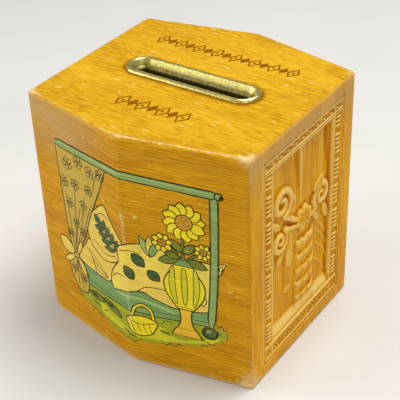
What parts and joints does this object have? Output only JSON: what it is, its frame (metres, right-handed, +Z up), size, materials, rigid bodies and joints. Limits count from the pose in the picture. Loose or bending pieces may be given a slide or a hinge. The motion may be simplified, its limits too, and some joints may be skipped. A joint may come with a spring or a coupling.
{
  "type": "wooden money box",
  "caption": "Hexagonal lacquered wooden money box with a brass coin slot, relief side panels, a tilting slot guard and a lockable hinged door underneath.",
  "frame": {"origin": "on the resting plane z = 0, under the middle of the box", "axes": "+Z up, +X towards the right side panel (the door's lock side), -Y towards the front ridge"},
  "size_m": [0.08, 0.0782, 0.0851],
  "materials": {
    "lacquered_wood": "honey lacquer over fine straight grain, worn pale at the edges",
    "relief_wood": "honey lacquer over a pressed relief, grain upright",
    "bare_wood": "unfinished planed wood",
    "brass": "aged, dull yellow-green",
    "steel": "plain sheet and wire, slightly dull"
  },
  "bodies": {
    "box": {"top_board": "lacquered_wood", "front_left_wall": "lacquered_wood", "front_right_wall": "lacquered_wood", "back_left_wall": "lacquered_wood", "back_right_wall": "lacquered_wood", "left_side_panel": "relief_wood", "right_side_panel": "relief_wood", "corner_block_front_left": "bare_wood", "corner_block_front_right": "bare_wood", "corner_block_back_left": "bare_wood", "corner_block_back_right": "bare_wood", "slot_plate": "brass", "guard_bracket": "steel", "flap_wire": "steel", "guard_nail_left": "steel", "guard_nail_right": "steel", "hinge_wall_leaf": "brass", "hinge_pin": "steel", "hinge_wall_screw_front": "brass", "hinge_wall_screw_back": "brass", "strike_plate": "steel", "strike_screw_front": "steel", "strike_screw_back": "steel"},
    "flap": {"coin_flap": "steel"},
    "door": {"bottom_door": "bare_wood", "hinge_door_leaf": "brass", "hinge_door_screw_front": "brass", "hinge_door_screw_back": "brass", "lock_case": "steel", "bolt_stump": "steel", "lock_screw_front": "steel", "lock_screw_back": "steel", "escutcheon": "brass", "escutcheon_pin_front": "brass", "escutcheon_pin_back": "brass"},
    "rotor": {"lock_rotor": "brass"},
    "bolt": {"lock_bolt": "steel"}
  },
  "joints": [
    {"name": "door_hinge", "type": "hinge", "parent": "box", "child": "door", "pos_m": [-0.0314, 0, 0.002], "axis": [0, 1, 0], "range_deg": [0, 95]},
    {"name": "rotor_turn", "type": "hinge", "parent": "door", "child": "rotor", "pos_m": [0.017, 0, 0.005], "axis": [0, 0, -1], "range_deg": [0, 90]},
    {"name": "bolt_slide", "type": "slide", "parent": "door", "child": "bolt", "axis": [1, 0, 0], "range_m": [0, 0.004]},
    {"name": "flap_swing", "type": "hinge", "parent": "box", "child": "flap", "pos_m": [0, 0.005, 0.0773], "axis": [-1, 0, 0], "range_deg": [0, 78]}
  ],
  "couplings": [
    {"joint": "rotor_turn", "follows": "bolt_slide", "rad_per_m": 392.69}
  ]
}
